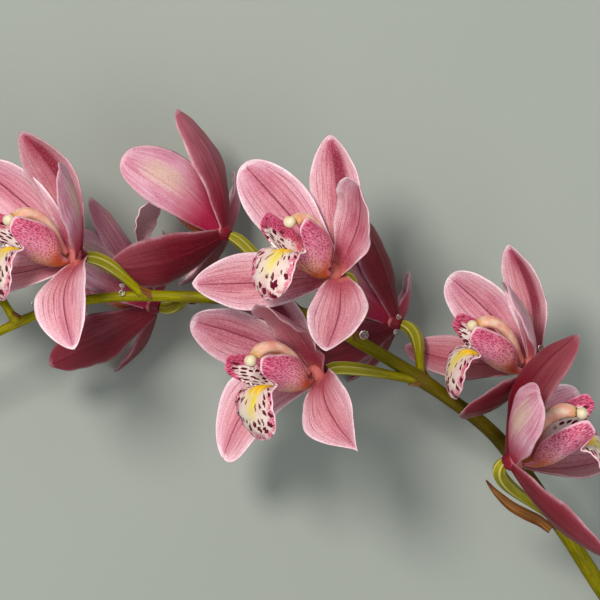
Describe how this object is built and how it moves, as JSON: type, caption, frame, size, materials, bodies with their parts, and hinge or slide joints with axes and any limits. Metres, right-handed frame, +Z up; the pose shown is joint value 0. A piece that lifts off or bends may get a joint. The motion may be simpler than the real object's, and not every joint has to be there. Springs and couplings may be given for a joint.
{
  "type": "cymbidium orchid stem",
  "caption": "Cut arching orchid flower stem lying on its side, with open pink blooms whose white lips are spotted, buds at the tip and a dry bract near the cut end.",
  "frame": {"origin": "on the floor, under the middle of the bounding box", "axes": "+X along the stem towards the cut end, +Y across it towards the side where the blooms rise, +Z up from the surface that the stem lies on; the picture looks straight down -Z with +X to its right"},
  "size_m": [0.3805, 0.295, 0.1381],
  "materials": {
    "tepals": "satin petal, pink with darker veins, burgundy behind",
    "lip": "waxy, white with maroon spots, magenta side lobes and a yellow disc",
    "column": "waxy, cream shading to peach",
    "anther_cap": "waxy cream",
    "bud": "satin, green flushed with pink",
    "stem": "smooth olive green, living tissue",
    "dry_bract": "dry, papery brown"
  },
  "bodies": {
    "root": {"bloom_1_tepals": "tepals", "bloom_1_lip": "lip", "bloom_1_column": "column", "bloom_1_anther_cap": "anther_cap", "bloom_2_tepals": "tepals", "bloom_2_lip": "lip", "bloom_2_column": "column", "bloom_2_anther_cap": "anther_cap", "bloom_3_tepals": "tepals", "bloom_3_lip": "lip", "bloom_3_column": "column", "bloom_3_anther_cap": "anther_cap", "bloom_4_tepals": "tepals", "bloom_4_lip": "lip", "bloom_4_column": "column", "bloom_4_anther_cap": "anther_cap", "bloom_5_tepals": "tepals", "bloom_5_lip": "lip", "bloom_5_column": "column", "bloom_5_anther_cap": "anther_cap", "bloom_6_tepals": "tepals", "bloom_6_lip": "lip", "bloom_6_column": "column", "bloom_6_anther_cap": "anther_cap", "bloom_7_tepals": "tepals", "bloom_7_lip": "lip", "bloom_7_column": "column", "bloom_7_anther_cap": "anther_cap", "bloom_8_tepals": "tepals", "bloom_8_lip": "lip", "bloom_8_column": "column", "bloom_8_anther_cap": "anther_cap", "bloom_9_tepals": "tepals", "bloom_9_lip": "lip", "bloom_9_column": "column", "bloom_9_anther_cap": "anther_cap", "bud_1": "bud", "bud_2": "bud", "dry_bract": "dry_bract", "flower_stem": "stem"}
  },
  "joints": []
}
